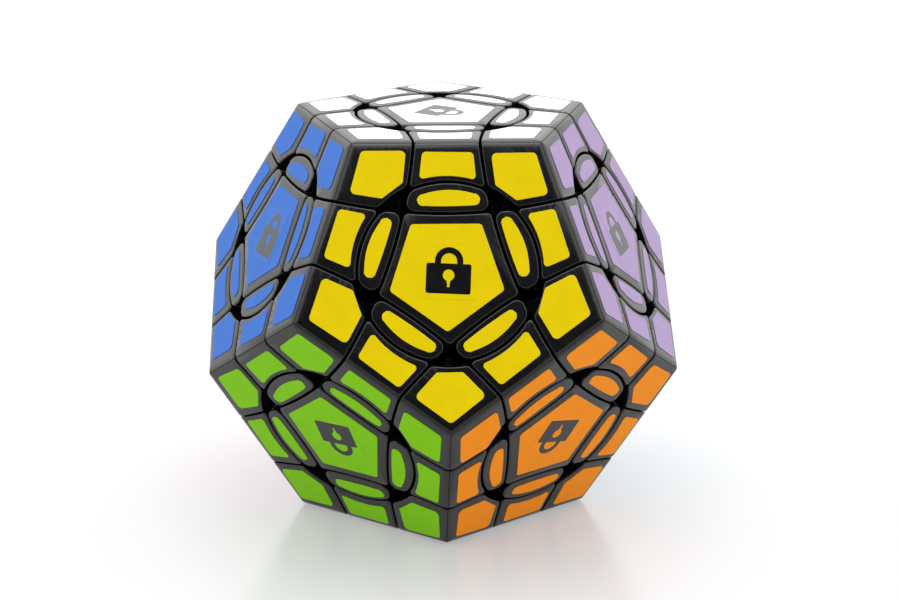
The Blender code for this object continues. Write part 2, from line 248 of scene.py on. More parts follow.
# ---------------------------------------------------------------- meshing
def surface_net(shape, basis, low, high, step, coarse=4):
    """Quads on the zero level of a distance function, on a grid along basis's columns. Only the grid near the surface is worked out finely."""
    blocks = [int(math.ceil((b - a) / (step * coarse))) for a, b in zip(low, high)]
    low = np.array(low, float)
    big = step * coarse

    def values(index, unit_step):
        return shape((low + index * unit_step) @ basis.T)

    corners = np.stack(np.meshgrid(*[np.arange(k) for k in blocks], indexing="ij"), -1).reshape(-1, 3)
    rough = values(corners + 0.5, big)
    near = np.abs(rough) < big * 1.35
    n = [k * coarse + 1 for k in blocks]
    v = np.repeat(np.repeat(np.repeat(rough.reshape(blocks), coarse, 0), coarse, 1), coarse, 2)
    v = np.pad(v, ((0, 1), (0, 1), (0, 1)), mode="edge").astype(np.float32)
    ticks = np.arange(coarse + 1)
    local = np.stack(np.meshgrid(ticks, ticks, ticks, indexing="ij"), -1).reshape(-1, 3)
    flat = np.unique(
        np.ravel_multi_index(
            tuple((corners[near][:, None, :] * coarse + local[None]).reshape(-1, 3).T), n
        )
    )
    v.reshape(-1)[flat] = values(np.stack(np.unravel_index(flat, n), 1), step)
    inside = v < 0
    cells = [k - 1 for k in n]
    ids, places, rows = [], [], []
    for axis in range(3):
        lo = [slice(None)] * 3
        hi = [slice(None)] * 3
        lo[axis], hi[axis] = slice(0, -1), slice(1, None)
        at = np.stack(np.nonzero(inside[tuple(lo)] != inside[tuple(hi)]), 1)
        p, q = (axis + 1) % 3, (axis + 2) % 3
        at = at[(at[:, p] > 0) & (at[:, q] > 0) & (at[:, p] < n[p] - 1) & (at[:, q] < n[q] - 1)]
        other = at.copy()
        other[:, axis] += 1
        a, b = v[tuple(at.T)], v[tuple(other.T)]
        where = at.astype(float)
        where[:, axis] += a / (a - b)
        row = []
        for dp, dq in ((1, 1), (0, 1), (0, 0), (1, 0)):
            c = at.copy()
            c[:, p] -= dp
            c[:, q] -= dq
            cell = np.ravel_multi_index(tuple(c.T), cells)
            row.append(cell)
            ids.append(cell)
            places.append(where)
        row = np.stack(row, 1)
        flip = ~inside[tuple(at.T)]
        row[flip] = row[flip][:, ::-1]
        rows.append(row)
    ids, places, rows = np.concatenate(ids), np.concatenate(places), np.concatenate(rows)
    used, inverse = np.unique(ids, return_inverse=True)
    count = np.bincount(inverse)
    place = np.stack([np.bincount(inverse, places[:, k]) / count for k in range(3)], 1)
    verts = (low + place * step) @ basis.T
    return verts, np.searchsorted(used, rows)


def gradient(shape, pts, h=0.02):
    g = np.zeros_like(pts)
    for k in range(3):
        d = np.zeros(3)
        d[k] = h
        g[:, k] = (shape(pts + d) - shape(pts - d)) / (2 * h)
    return g


def onto(shape, pts, times=4, reach=0.12):
    for _ in range(times):
        g = gradient(shape, pts)
        gg = np.maximum((g * g).sum(1), 0.05)
        move = -(shape(pts) / gg)[:, None] * g
        size = np.linalg.norm(move, axis=1)
        pts = pts + move * np.minimum(1, reach / np.maximum(size, 1e-9))[:, None]
    return pts


def thinned(verts, faces, triangles):
    """Quads collapsed to about that many triangles, keeping the curved parts."""
    mesh = bpy.data.meshes.new("net")
    mesh.from_pydata(verts.tolist(), [], faces.tolist())
    ob = bpy.data.objects.new("net", mesh)
    bpy.context.scene.collection.objects.link(ob)
    m = ob.modifiers.new("Decimate", "DECIMATE")
    m.ratio = min(1.0, triangles / (2 * len(faces)))
    m.use_collapse_triangulate = True
    bpy.context.view_layer.update()
    got = bpy.data.meshes.new_from_object(ob.evaluated_get(bpy.context.evaluated_depsgraph_get()))
    bpy.data.objects.remove(ob)
    bpy.data.meshes.remove(mesh)
    v = np.zeros(len(got.vertices) * 3)
    got.vertices.foreach_get("co", v)
    f = [tuple(p.vertices) for p in got.polygons]
    bpy.data.meshes.remove(got)
    return v.reshape(-1, 3), f


SEAM_HALF, SEAM_DEEP = 0.075, 0.12


def seamed(verts, faces, pairs, members):
    """Cuts the fine mould seam along the solid's edges: three lines, the middle one pushed in."""
    bm = bmesh.new()
    vs = [bm.verts.new(v) for v in verts]
    for f in faces:
        bm.faces.new([vs[i] for i in f])
    bm.normal_update()

    def near(c, a, b, reach):
        ha, hb = c.dot(a), c.dot(b)
        rest = [c.dot(Vector(AXES[m])) for m in members]
        return (
            abs(ha - hb) < reach
            and max(ha, hb) > max(rest) - 1e-6
            and min(ha, hb) > R_IN - 1.6
            and sorted(rest)[-2] <= min(ha, hb) + 1e-4
        )

    for p, q in pairs:
        a, b = Vector(AXES[p]), Vector(AXES[q])
        m = (a - b).normalized()
        for off in (-SEAM_HALF, 0.0, SEAM_HALF):
            fs = [f for f in bm.faces if near(f.calc_center_median(), a, b, 2.5)]
            es = list({e for f in fs for e in f.edges})
            ves = list({v for f in fs for v in f.verts})
            bmesh.ops.bisect_plane(
                bm, geom=ves + es + fs, dist=1e-5, plane_co=m * off, plane_no=m
            )
    groove = set()
    for p, q in pairs:
        a, b = Vector(AXES[p]), Vector(AXES[q])
        m = (a - b).normalized()
        for f in bm.faces:
            c = f.calc_center_median()
            if near(c, a, b, 1.0) and abs(c.dot(m)) < SEAM_HALF and all(
                abs(v.co.dot(m)) < SEAM_HALF + 2e-4 for v in f.verts
            ):
                groove.add(f)
    middle = set()
    for p, q in pairs:
        m = (Vector(AXES[p]) - Vector(AXES[q])).normalized()
        out = (Vector(AXES[p]) + Vector(AXES[q])).normalized()
        for v in {v for f in groove for v in f.verts}:
            if abs(v.co.dot(m)) < 2e-4 and v.co.dot(out) > R_IN + 5 and v not in middle:
                middle.add(v)
    for v in middle:
        if len([f for f in v.link_faces if f in groove]) >= 2:
            v.co -= v.co.normalized() * SEAM_DEEP
    for f in groove:
        f.material_index = 1
    bmesh.ops.triangulate(bm, faces=[f for f in bm.faces if len(f.verts) > 3])
    bm.verts.index_update()
    out_v = np.array([v.co[:] for v in bm.verts])
    out_f = [tuple(v.index for v in f.verts) for f in bm.faces]
    marks = [f.material_index for f in bm.faces]
    bm.free()
    return out_v, out_f, marks


def shaded_mesh(name, shape, verts, faces, marks=None):
    """A mesh in metres whose normals come from the distance function."""
    mesh = bpy.data.meshes.new(name)
    mesh.from_pydata((verts * 0.001).tolist(), [], faces)
    mesh.polygons.foreach_set("use_smooth", [True] * len(mesh.polygons))
    if marks is not None:
        mesh.polygons.foreach_set("material_index", marks)
    mesh.update()
    g = gradient(shape, verts)
    g /= np.maximum(np.linalg.norm(g, axis=1), 1e-9)[:, None]
    loops = np.zeros(len(mesh.loops), int)
    mesh.loops.foreach_get("vertex_index", loops)
    flat = np.zeros(len(mesh.polygons) * 3)
    mesh.polygons.foreach_get("normal", flat)
    flat = flat.reshape(-1, 3)
    of = np.repeat(np.arange(len(mesh.polygons)), [len(p.vertices) for p in mesh.polygons])
    n = g[loops]
    f = flat[of]
    odd = (n * f).sum(1) < 0.55
    if marks is not None:
        odd |= np.array(marks)[of] == 1
    n[odd] = f[odd]
    mesh.normals_split_custom_set(n.tolist())
    return mesh


def plastic_mesh(name, shape, basis, low, high, step, triangles, seams=()):
    verts, quads = surface_net(shape, basis, low, high, step)
    verts = onto(shape, verts, 2, step / 2)
    verts, faces = thinned(verts, quads, triangles)
    verts = onto(shape, verts, 2, 0.05)
    marks = None
    if seams:
        members = sorted({f for pair in seams for f in pair})
        verts, faces, marks = seamed(verts, faces, seams, members)
    return shaded_mesh(name, shape, verts, faces, marks)


def basis_along(direction, side):
    z = unit(direction)
    x = unit(side - z * (side @ z))
    return np.stack((x, np.cross(z, x), z), axis=1)


A, B, C = "white", "yellow", "purple"
corner_axis = AXES[A] + AXES[B] + AXES[C]
edge_axis = AXES[A] + AXES[B]
FINE = 0.14
MASTER = {
    "corner": plastic_mesh(
        "corner_piece", corner_shape, basis_along(corner_axis, AXES[A]),
        (-15.1, -15.1, 11.5), (15.1, 15.1, 51.5), FINE, 9000,
        ((A, B), (B, C), (C, A)),
    ),
    "edge": plastic_mesh(
        "edge_piece", edge_shape, basis_along(edge_axis, AXES[A]),
        (-15.1, -10.1, 11.5), (15.1, 10.1, 48.5), FINE, 9000, ((A, B),),
    ),
    "hub": plastic_mesh(
        "hub_piece", hub_shape, frame_of(A, B), (-14.6, -14.6, 21.9), (14.6, 14.6, 40.6), FINE, 7000
    ),
    "petal": plastic_mesh(
        "petal_piece", petal_shape, frame_of(A, B), (9.1, -8.9, 30.5), (17.4, 8.9, 40.6), FINE, 4200
    ),
    "core": plastic_mesh(
        "core_ball", core_shape, np.eye(3), (-22.7, -22.7, -22.7), (22.7, 22.7, 22.7), 0.3, 22000
    ),
}

# ---------------------------------------------------------------- materials
def srgb(hex_colour):
    out = []
    for i in (0, 2, 4):
        c = int(hex_colour[i : i + 2], 16) / 255
        out.append(c / 12.92 if c <= 0.04045 else ((c + 0.055) / 1.055) ** 2.4)
    return out


def new_material(name):
    m = bpy.data.materials.new(name)
    m.use_nodes = True
    nt = m.node_tree
    nt.nodes.clear()
    out = nt.nodes.new("ShaderNodeOutputMaterial")
    b = nt.nodes.new("ShaderNodeBsdfPrincipled")
    nt.links.new(b.outputs["BSDF"], out.inputs["Surface"])
    return m, nt, b


def noise(nt, coord, scale, detail=3.0, rough=0.55):
    n = nt.nodes.new("ShaderNodeTexNoise")
    n.inputs["Scale"].default_value = scale
    n.inputs["Detail"].default_value = detail
    n.inputs["Roughness"].default_value = rough
    nt.links.new(coord, n.inputs["Vector"])
    return n.outputs["Fac"]


def ramp(nt, fac, stops):
    r = nt.nodes.new("ShaderNodeValToRGB")
    el = r.color_ramp.elements
    while len(el) < len(stops):
        el.new(0.5)
    for e, (pos, col) in zip(el, stops):
        e.position = pos
        e.color = (*col, 1) if len(col) == 3 else col
    nt.links.new(fac, r.inputs["Fac"])
    return r.outputs["Color"]


def ranged(nt, fac, low, high):
    m = nt.nodes.new("ShaderNodeMapRange")
    m.inputs["From Min"].default_value = 0.3
    m.inputs["From Max"].default_value = 0.7
    m.inputs["To Min"].default_value = low
    m.inputs["To Max"].default_value = high
    nt.links.new(fac, m.inputs["Value"])
    return m.outputs["Result"]


def bump(nt, fac, distance, strength):
    b = nt.nodes.new("ShaderNodeBump")
    b.inputs["Distance"].default_value = distance
    b.inputs["Strength"].default_value = strength
    nt.links.new(fac, b.inputs["Height"])
    return b.outputs["Normal"]


def black_plastic(name, tone, rough_low, rough_high, grain):
    """Moulded plastic: near-black with a slight cloud, a fine satin grain and worn-smooth patches."""
    m, nt, b = new_material(name)
    coord = nt.nodes.new("ShaderNodeTexCoord").outputs["Object"]
    cloud = noise(nt, coord, 220.0)
    fine = noise(nt, coord, 4200.0, 2.0)
    patch = noise(nt, coord, 480.0, 4.0)
    lo, hi = [t * 0.86 for t in tone], [t * 1.16 for t in tone]
    nt.links.new(ramp(nt, cloud, [(0.3, lo), (0.7, hi)]), b.inputs["Base Color"])
    nt.links.new(ranged(nt, patch, rough_low, rough_high), b.inputs["Roughness"])
    nt.links.new(bump(nt, fine, 0.00002, grain), b.inputs["Normal"])
    b.inputs["IOR"].default_value = 1.5
    return m


def sticker_vinyl(name, tone, rough=(0.40, 0.47)):
    """Matt vinyl: an even ink with a slight cloud and a satin sheen."""
    m, nt, b = new_material(name)
    coord = nt.nodes.new("ShaderNodeTexCoord").outputs["Object"]
    cloud = noise(nt, coord, 260.0, 3.0)
    lo = [t * 0.965 for t in tone]
    hi = [min(1.0, t * 1.03) for t in tone]
    nt.links.new(ramp(nt, cloud, [(0.3, lo), (0.7, hi)]), b.inputs["Base Color"])
    patch = noise(nt, coord, 900.0, 3.0)
    nt.links.new(ranged(nt, patch, *rough), b.inputs["Roughness"])
    b.inputs["IOR"].default_value = 1.46
    b.inputs["Specular IOR Level"].default_value = 0.12
    return m


def steel(name, tone, rough):
    m, nt, b = new_material(name)
    coord = nt.nodes.new("ShaderNodeTexCoord").outputs["Object"]
    cloud = noise(nt, coord, 1500.0, 3.0)
    nt.links.new(
        ramp(nt, cloud, [(0.3, [t * 0.85 for t in tone]), (0.7, tone)]), b.inputs["Base Color"]
    )
    nt.links.new(ranged(nt, cloud, rough * 0.8, rough * 1.3), b.inputs["Roughness"])
    b.inputs["Metallic"].default_value = 1.0
    return m


PLASTIC = black_plastic("black_moulded_plastic", (0.0048, 0.0048, 0.0051), 0.16, 0.23, 0.8)
SEAM = black_plastic("mould_seam_shadow", (0.002, 0.002, 0.002), 0.6, 0.7, 0.2)
CORE_PLASTIC = black_plastic("core_moulded_plastic", (0.02, 0.02, 0.021), 0.4, 0.5, 0.3)
STEEL = steel("spring_wire_steel", (0.62, 0.62, 0.64), 0.25)
INK = black_plastic("pictogram_ink", (0.002, 0.002, 0.0026), 0.2, 0.28, 0.15)

COLOURS = {
    "white": "ECECEA",
    "grey": "8E9092",
    "yellow": "DCC300",
    "purple": "9E88B0",
    "dark_green": "00703C",
    "red": "B41A20",
    "blue": "2B64B8",
    "orange": "FF9400",
    "light_blue": "62B5E5",
    "cream": "F0E6B8",
    "pink": "EE7FA8",
    "light_green": "82CC00",
}
VINYL = {c: sticker_vinyl(f"vinyl_{c}", srgb(h)) for c, h in COLOURS.items()}
FILM = {c: sticker_vinyl(f"clear_film_on_{c}", srgb(h), (0.36, 0.42)) for c, h in COLOURS.items()}

for key, mesh in MASTER.items():
    mesh.materials.append(CORE_PLASTIC if key == "core" else PLASTIC)
    if key in ("corner", "edge"):
        mesh.materials.append(SEAM)

# ---------------------------------------------------------------- placing
CENTRE = Matrix.Translation((0, 0, R_IN * 0.001))


def placed(rotation):
    return CENTRE @ Matrix(rotation.tolist()).to_4x4()


WORLD = {}


def add_piece(name, mesh, rotation, body, replaces=()):
    ob = bpy.data.objects.new(name, mesh)
    bpy.context.scene.collection.objects.link(ob)
    WORLD[name] = placed(rotation)
    ob.matrix_world = WORLD[name]
    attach(ob, body)
    for node in replaces:
        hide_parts(node)
    return ob


def add_child(name, mesh, world, parent):
    ob = bpy.data.objects.new(name, mesh)
    bpy.context.scene.collection.objects.link(ob)
    ob.parent = parent
    ob.matrix_parent_inverse = Matrix.Identity(4)
    ob.matrix_basis = WORLD[parent.name].inverted() @ world
    return ob


def layer_body(*faces):
    for f in faces:
        if f in TURNING:
            return f"{f}_layer"
    return "core"


MASTER_FRAME = frame_of(A, B)
CAD_NODES = set(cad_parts)


def copy_rotation(first, second):
    return frame_of(first, second) @ MASTER_FRAME.T


# ---------------------------------------------------------------- stickers
def arc(cx, cy, r, a0, a1, n):
    return [
        (cx + r * math.cos(a0 + (a1 - a0) * i / n), cy + r * math.sin(a0 + (a1 - a0) * i / n))
        for i in range(n + 1)
    ]


def softened(points, radii, n=5):
    """A closed polygon (counter-clockwise) with its corners rounded."""
    out = []
    k = len(points)
    for i, (p, r) in enumerate(zip(points, radii)):
        if r <= 0:
            out.append(p)
            continue
        p = np.array(p)
        a = unit(np.array(points[i - 1]) - p)
        b = unit(np.array(points[(i + 1) % k]) - p)
        half = math.acos(max(-1, min(1, a @ b))) / 2
        d = r / math.tan(half)
        c = p + unit(a + b) * r / math.sin(half)
        s, e = p + a * d - c, p + b * d - c
        a0 = math.atan2(s[1], s[0])
        turn = (math.atan2(e[1], e[0]) - a0 + math.pi) % math.tau - math.pi
        out += [
            (c[0] + r * math.cos(a0 + turn * j / n), c[1] + r * math.sin(a0 + turn * j / n))
            for j in range(n + 1)
        ]
    return out


def inset(points, by):
    p = np.array(points)
    a, b = np.roll(p, 1, 0), np.roll(p, -1, 0)
    e0 = p - a
    e1 = b - p
    n0 = np.stack((-e0[:, 1], e0[:, 0]), 1) / np.linalg.norm(e0, axis=1)[:, None]
    n1 = np.stack((-e1[:, 1], e1[:, 0]), 1) / np.linalg.norm(e1, axis=1)[:, None]
    n = n0 + n1
    n /= np.linalg.norm(n, axis=1)[:, None]
    return (p + n * by).tolist()


def sheet_mesh(name, outline, low, high, bevel, material, holes=()):
    """A thin plate with a softened upper rim. The outline is counter-clockwise, in the face's plane."""
    bm = bmesh.new()
    rings = [
        [(x, y, low) for x, y in outline],
        [(x, y, high - bevel) for x, y in outline],
        [(x, y, high - bevel * 0.3) for x, y in inset(outline, bevel * 0.3)],
        [(x, y, high) for x, y in inset(outline, bevel)],
    ]
    rows = [[bm.verts.new([c * 0.001 for c in p]) for p in ring] for ring in rings]
    k = len(outline)
    for r0, r1 in zip(rows, rows[1:]):
        for i in range(k):
            f = bm.faces.new((r0[i], r0[(i + 1) % k], r1[(i + 1) % k], r1[i]))
            f.smooth = True
    bm.faces.new(rows[-1])
    bm.faces.new(rows[0][::-1])
    mesh = bpy.data.meshes.new(name)
    bm.normal_update()
    bm.to_mesh(mesh)
    bm.free()
    mesh.materials.append(material)
    return mesh


def polar(r, a):
    return (r * math.cos(math.radians(a)), r * math.sin(math.radians(a)))


# all with +x toward the neighbour (or toward the vertex, for a corner)
def hub_outline():
    r = 9.12 / math.cos(math.radians(36))
    return softened([polar(r, 36 + 72 * i) for i in range(5)], [0.75] * 5)


def petal_outline():
    low, top, half = 12.38, 15.49, 5.93
    inner = [(low + 0.18 * (y / half) ** 2, y) for y in np.linspace(-4.5, 4.5, 9)]
    r = 15.49
    outer = arc(0, 0, r, math.asin(4.8 / r), -math.asin(4.8 / r), 12)
    # round ends through the lens's tips
    end_a = []
    x0, x1 = low + 0.11, math.sqrt(r * r - 4.8**2)
    cx = (x0 + x1) / 2 - 0.12
    pts = [(x0, 4.5), (x0 + 0.05, 5.2), (x0 + 0.42, 5.72), (cx + 0.28, half), (x1 - 0.42, 5.65), (x1 - 0.05, 5.2)]
    up = pts
    down = [(x, -y) for x, y in pts][::-1]
    del inner[0], inner[-1]
    # counter-clockwise with x up: go along the inner edge toward +y, then back along the arc
    loop = inner[::-1] + [(x, y) for x, y in down][::-1] + outer[::-1] + up[::-1]
    return loop


def edge_outline():
    top, half_top, half_low = 22.87, 4.8, 5.36
    low = 17.71
    pts = [(top, -half_top), (top, half_top), (low, half_low), (low, -half_low)]
    soft = softened(pts, [0.8, 0.8, 0.7, 0.7])
    # the inner side follows the circle
    n = len(soft)
    out = []
    for x, y in soft:
        out.append((x, y))
    # concave arc between the last rounded corner pair
    a = soft[3 * 6 - 1]
    b = soft[3 * 6]
    r = 18.5
    bow = []
    for i in range(1, 12):
        y = a[1] + (b[1] - a[1]) * i / 12
        edge = math.sqrt(max(r * r - y * y, 0))
        edge_end = math.sqrt(r * r - a[1] * a[1])
        bow.append((low + (edge - edge_end), y))
    return soft[: 3 * 6] + bow + soft[3 * 6 :]


def corner_outline():
    pts = [(18.6, -2.47), (23.08, -6.7), (28.18, 0.0), (23.08, 6.7), (18.6, 2.47)]
    return softened(pts, [0.6, 0.95, 0.9, 0.95, 0.6])


def counter_clockwise(points):
    p = np.array(points)
    q = np.roll(p, -1, 0)
    area = (p[:, 0] * q[:, 1] - q[:, 0] * p[:, 1]).sum() / 2
    return points if area > 0 else points[::-1]


def tidy(points):
    out = []
    for p in points:
        if not out or math.dist(out[-1], p) > 0.02:
            out.append(tuple(p))
    if math.dist(out[0], out[-1]) < 0.02:
        out.pop()
    return out


OUTLINES = {
    "centre": hub_outline(),
    "petal": petal_outline(),
    "edge": edge_outline(),
    "corner": corner_outline(),
}
OUTLINES = {k: counter_clockwise(tidy(v)) for k, v in OUTLINES.items()}
STICKERS = {
    (kind, c): sheet_mesh(
        f"{kind}_sticker_{c}", outline, R_IN - 0.02, R_IN + STICKER, 0.05, VINYL[c]
    )
    for kind, outline in OUTLINES.items()
    for c in COLOURS
}


def turn_z(deg):
    a = math.radians(deg)
    return np.array(((math.cos(a), -math.sin(a), 0), (math.sin(a), math.cos(a), 0), (0, 0, 1.0)))


hand = random.Random(7)
LAID_SPREAD = (0.14, 0.14, 0.9)
LAID = {      # mm along x and y and degrees, measured on the five faces in view
    "sticker_yellow_corner_white_blue": (-0.04, -0.6, 1.2),
    "sticker_yellow_edge_white": (-0.11, -0.1, -1.0),
    "sticker_yellow_corner_white_purple": (-0.11, -0.21, -0.8),
    "sticker_yellow_petal_white": (0.0, -0.18, 0.3),
    "sticker_yellow_edge_blue": (0.19, -0.37, 0.5),
    "sticker_yellow_edge_purple": (-0.27, 0.25, -1.3),
    "sticker_yellow_petal_purple": (-0.26, 0.5, -0.4),
    "sticker_yellow_petal_blue": (0.32, -0.3, -0.5),
    "sticker_yellow_centre": (-0.09, 0.34, 0),
    "sticker_yellow_corner_purple_orange": (-0.48, 0.12, 1.3),
    "sticker_yellow_corner_blue_light_green": (-0.6, 0.24, 0.6),
    "sticker_yellow_petal_orange": (-0.07, -0.5, -0.4),
    "sticker_yellow_petal_light_green": (-0.07, 0.5, -0.0),
    "sticker_yellow_edge_orange": (-0.09, -0.26, 1.1),
    "sticker_yellow_edge_light_green": (0.17, 0.34, -1.4),
    "sticker_yellow_corner_orange_light_green": (0.3, -0.03, 0.6),
    "sticker_light_green_corner_yellow_blue": (0.04, -0.6, 1.7),
    "sticker_light_green_edge_blue": (-0.2, -0.21, 1.0),
    "sticker_light_green_corner_blue_pink": (-0.11, -0.58, -2),
    "sticker_light_green_edge_yellow": (0.21, -0.25, -0.3),
    "sticker_light_green_petal_blue": (-0.23, 0.26, 1.4),
    "sticker_light_green_petal_yellow": (-0.08, 0.02, 0.2),
    "sticker_light_green_centre": (-0.11, -0.21, 0),
    "sticker_light_green_corner_yellow_orange": (-0.13, -0.16, -0.1),
    "sticker_light_green_edge_pink": (0.2, -0.5, -1.5),
    "sticker_light_green_petal_pink": (0.34, -0.3, 0.3),
    "sticker_light_green_petal_orange": (-0.31, -0.39, 1.3),
    "sticker_light_green_edge_orange": (-0.18, -0.5, -1.0),
    "sticker_light_green_corner_grey_pink": (0.38, -0.54, -0.1),
    "sticker_light_green_petal_grey": (0.49, 0.42, 0.5),
    "sticker_light_green_edge_grey": (0.46, -0.22, -0.3),
    "sticker_light_green_corner_grey_orange": (0.54, -0.16, 2),
    "sticker_orange_corner_yellow_purple": (0.19, 0.3, -0.4),
    "sticker_orange_edge_purple": (0.49, 0.01, -2),
    "sticker_orange_corner_purple_light_blue": (0.33, -0.06, 0.9),
    "sticker_orange_edge_yellow": (0.26, 0.5, 0.2),
    "sticker_orange_petal_purple": (0.24, 0.08, 0.9),
    "sticker_orange_petal_yellow": (0.1, 0.5, 0.7),
    "sticker_orange_centre": (0.41, 0.22, 0),
    "sticker_orange_corner_yellow_light_green": (-0.56, 0.48, 0.1),
    "sticker_orange_petal_light_blue": (0.34, -0.04, 0.6),
    "sticker_orange_edge_light_blue": (0.5, -0.14, -0.1),
    "sticker_orange_petal_light_green": (-0.1, 0.5, -0.1),
    "sticker_orange_edge_light_green": (-0.07, 0.5, -1.3),
    "sticker_orange_corner_grey_light_blue": (0.6, 0.23, 0.2),
    "sticker_orange_petal_grey": (0.21, 0.5, 1.3),
    "sticker_orange_edge_grey": (0.23, 0.5, 0.8),
    "sticker_orange_corner_grey_light_green": (0.05, 0.4, -1.7),
    "sticker_blue_corner_white_red": (0.6, 0.55, -1.5),
    "sticker_blue_edge_white": (0.22, 0.5, 2),
    "sticker_blue_corner_white_yellow": (-0.06, 0.59, -0.1),
    "sticker_blue_edge_red": (0.28, 0.42, -0.2),
    "sticker_blue_petal_white": (-0.1, 0.5, 2),
    "sticker_blue_petal_red": (0.5, 0.5, 0.1),
    "sticker_blue_centre": (0.1, 0.45, 0),
    "sticker_blue_petal_yellow": (-0.5, 0.1, 0.8),
    "sticker_blue_edge_yellow": (-0.15, 0.04, 0.1),
    "sticker_blue_corner_red_pink": (0.49, -0.21, -0.6),
    "sticker_blue_petal_pink": (0.32, -0.5, 0.4),
    "sticker_blue_edge_pink": (0.23, -0.5, -0.0),
    "sticker_blue_corner_yellow_light_green": (0.6, 0.6, -0.7),
    "sticker_blue_petal_light_green": (-0.23, 0.24, 0.9),
    "sticker_blue_edge_light_green": (-0.09, 0.46, -0.3),
    "sticker_blue_corner_pink_light_green": (-0.53, -0.6, -1.0),
    "sticker_purple_corner_white_dark_green": (-0.35, 0.49, 1.6),
    "sticker_purple_edge_white": (0.01, 0.04, 0.6),
    "sticker_purple_corner_white_yellow": (-0.33, -0.5, -0.1),
    "sticker_purple_edge_dark_green": (0.09, 0.04, 0.2),
    "sticker_purple_petal_white": (0.04, 0.0, 0.4),
    "sticker_purple_petal_dark_green": (0.26, 0.39, 0.2),
    "sticker_purple_centre": (-0.33, -0.03, 0),
    "sticker_purple_edge_yellow": (-0.07, 0.0, -0.1),
    "sticker_purple_petal_yellow": (-0.23, 0.34, -0.1),
    "sticker_purple_corner_dark_green_light_blue": (0.5, -0.11, -0.0),
    "sticker_purple_petal_light_blue": (0.5, 0.38, 0.5),
    "sticker_purple_edge_light_blue": (0.26, -0.02, -0.5),
    "sticker_purple_corner_yellow_orange": (0.6, -0.38, 0.6),
    "sticker_purple_petal_orange": (-0.37, -0.05, 0.8),
    "sticker_purple_edge_orange": (-0.1, -0.5, 1.3),
    "sticker_purple_corner_orange_light_blue": (-0.06, 0.13, -0.5),
}
PIVOT = {"centre": 0.0, "petal": 14.3, "edge": 20.6, "corner": 23.6}


def add_sticker(kind, face, rotation, parent, name):
    """A sticker on a face, laid on by hand: a little off and a little turned."""
    dx, dy, spin = LAID.get(name, (None,) * 3)
    if dx is None:
        dx, dy, spin = (hand.uniform(-k, k) for k in LAID_SPREAD)
    spin = math.radians(spin)
    c = PIVOT[kind] * 0.001
    off = (
        Matrix.Translation((c + dx * 0.001, dy * 0.001, 0))
        @ Matrix.Rotation(spin, 4, "Z")
        @ Matrix.Translation((-c, 0, 0))
    )
    return add_child(name, STICKERS[(kind, face)], placed(rotation) @ off, parent)


# ---------------------------------------------------------------- corners and edges
def vertex_rotation(face, one, two):
    """X toward the vertex between two neighbours."""
    z = AXES[face]
    mid = AXES[one] + AXES[two]
    x = unit(mid - z * (mid @ z))
    return np.stack((x, np.cross(z, x), z), axis=1)


def order(name_parts):
    return "_".join(f for f in name_parts)


corner_sets = []
for i, p in enumerate(FACES):
    for q in FACES[i + 1 :]:
        for r in FACES[FACES.index(q) + 1 :]:
            if beside(p, q) and beside(q, r) and beside(p, r):
                corner_sets.append((p, q, r))


def cad_name(kind, faces):
    """The CAD node of that kind whose name holds exactly these faces."""
    for node in CAD_NODES:
        if not node.startswith(kind + "_"):
            continue
        rest = node[len(kind) + 1 :]
        for f in sorted(faces, key=len, reverse=True):
            if f"_{f}_" in f"_{rest}_":
                rest = f"_{rest}_".replace(f"_{f}_", "_", 1).strip("_")
            else:
                break
        else:
            if not rest:
                return node
    raise RuntimeError(f"no CAD node for {kind} {faces}")


for faces in corner_sets:
    p, q, r = faces
    # same hand as white, yellow, purple
    if np.linalg.det(np.stack([AXES[f] for f in faces])) * np.linalg.det(
        np.stack([AXES[f] for f in (A, B, C)])
    ) < 0:
        q, r = r, q
    node = cad_name("corner", faces)
    turning = [f for f in faces if f in TURNING]
    body = layer_body(*faces)
    ob = add_piece(node.replace("corner_", "corner_piece_"), MASTER["corner"], copy_rotation(p, q), body, [node])
    for f in faces:
        one, two = [g for g in faces if g != f]
        add_sticker("corner", f, vertex_rotation(f, one, two), ob, f"sticker_{f}_corner_{one}_{two}")

for i, p in enumerate(FACES):
    for q in FACES[i + 1 :]:
        if not beside(p, q):
            continue
        node = cad_name("edge", (p, q))
        ob = add_piece(node.replace("edge_", "edge_piece_"), MASTER["edge"], copy_rotation(p, q), layer_body(p, q), [node])
        for f, g in ((p, q), (q, p)):
            add_sticker("edge", f, frame_of(f, g), ob, f"sticker_{f}_edge_{g}")

# ---------------------------------------------------------------- hubs and petals
HUBS = {}
for f in FACES:
    ring = neighbours(f)
    body = f"{f}_circle" if f in TURNING else "core"
    hub = add_piece(
        f"hub_piece_{f}", MASTER["hub"], copy_rotation(f, ring[0]), body,
        [f"hub_{f}"] if f in TURNING else [],
    )
    HUBS[f] = hub
    add_sticker("centre", f, frame_of(f, ring[0]), hub, f"sticker_{f}_centre")
    for g in ring:
        body = f"{f}_circle" if f in TURNING else layer_body(g)
        ob = add_piece(
            f"petal_{f}_beside_{g}", MASTER["petal"], copy_rotation(f, g), body,
            [f"petals_{f}"] if f in TURNING else [],
        )
        add_sticker("petal", f, frame_of(f, g), ob, f"sticker_{f}_petal_{g}")


